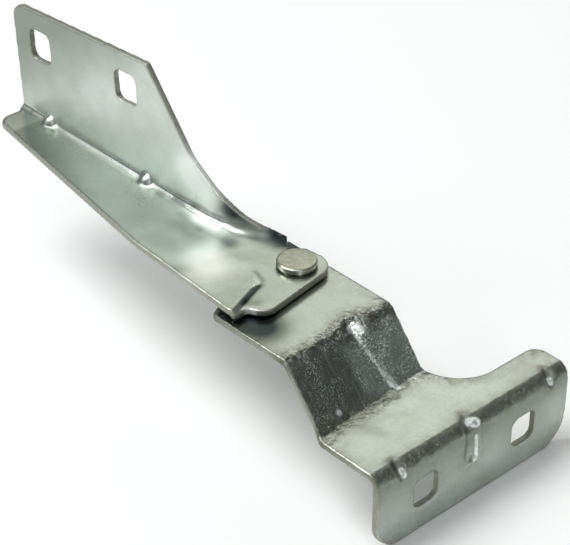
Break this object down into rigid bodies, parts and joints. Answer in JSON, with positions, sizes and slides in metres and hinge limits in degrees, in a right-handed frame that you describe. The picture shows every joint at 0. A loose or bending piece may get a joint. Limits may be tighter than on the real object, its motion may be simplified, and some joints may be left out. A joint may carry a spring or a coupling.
{
  "type": "bonnet hinge",
  "caption": "Stamped steel bonnet hinge: L-section arm with square bolt holes, riveted to a stepped bracket with a wide drilled mounting flange.",
  "frame": {"origin": "on the outer face of the bracket's mounting flange, midway between its two bolt holes", "axes": "+X out of the body seat, away from the arm; +Z along the pivot rivet, from its tail to its head; +Y completes the frame, the way the bonnet lies on the arm. In the vehicle the rivet lies level across the car, and +Y is up when the bonnet is shut"},
  "size_m": [0.232, 0.0908, 0.1046],
  "materials": {
    "zinc_steel": "satin, zinc plated, finely mottled",
    "rivet_steel": "satin, zinc plated",
    "washer_steel": "dark, oiled"
  },
  "bodies": {
    "bracket": {"body_bracket": "zinc_steel", "pivot_rivet": "rivet_steel", "thrust_washer": "washer_steel"},
    "arm": {"bonnet_arm": "zinc_steel"}
  },
  "joints": [
    {"name": "bonnet_pivot", "type": "hinge", "parent": "bracket", "child": "arm", "pos_m": [-0.0801, -0.0064, 0.0385], "axis": [0, 0, -1], "range_deg": [0, 60]}
  ]
}
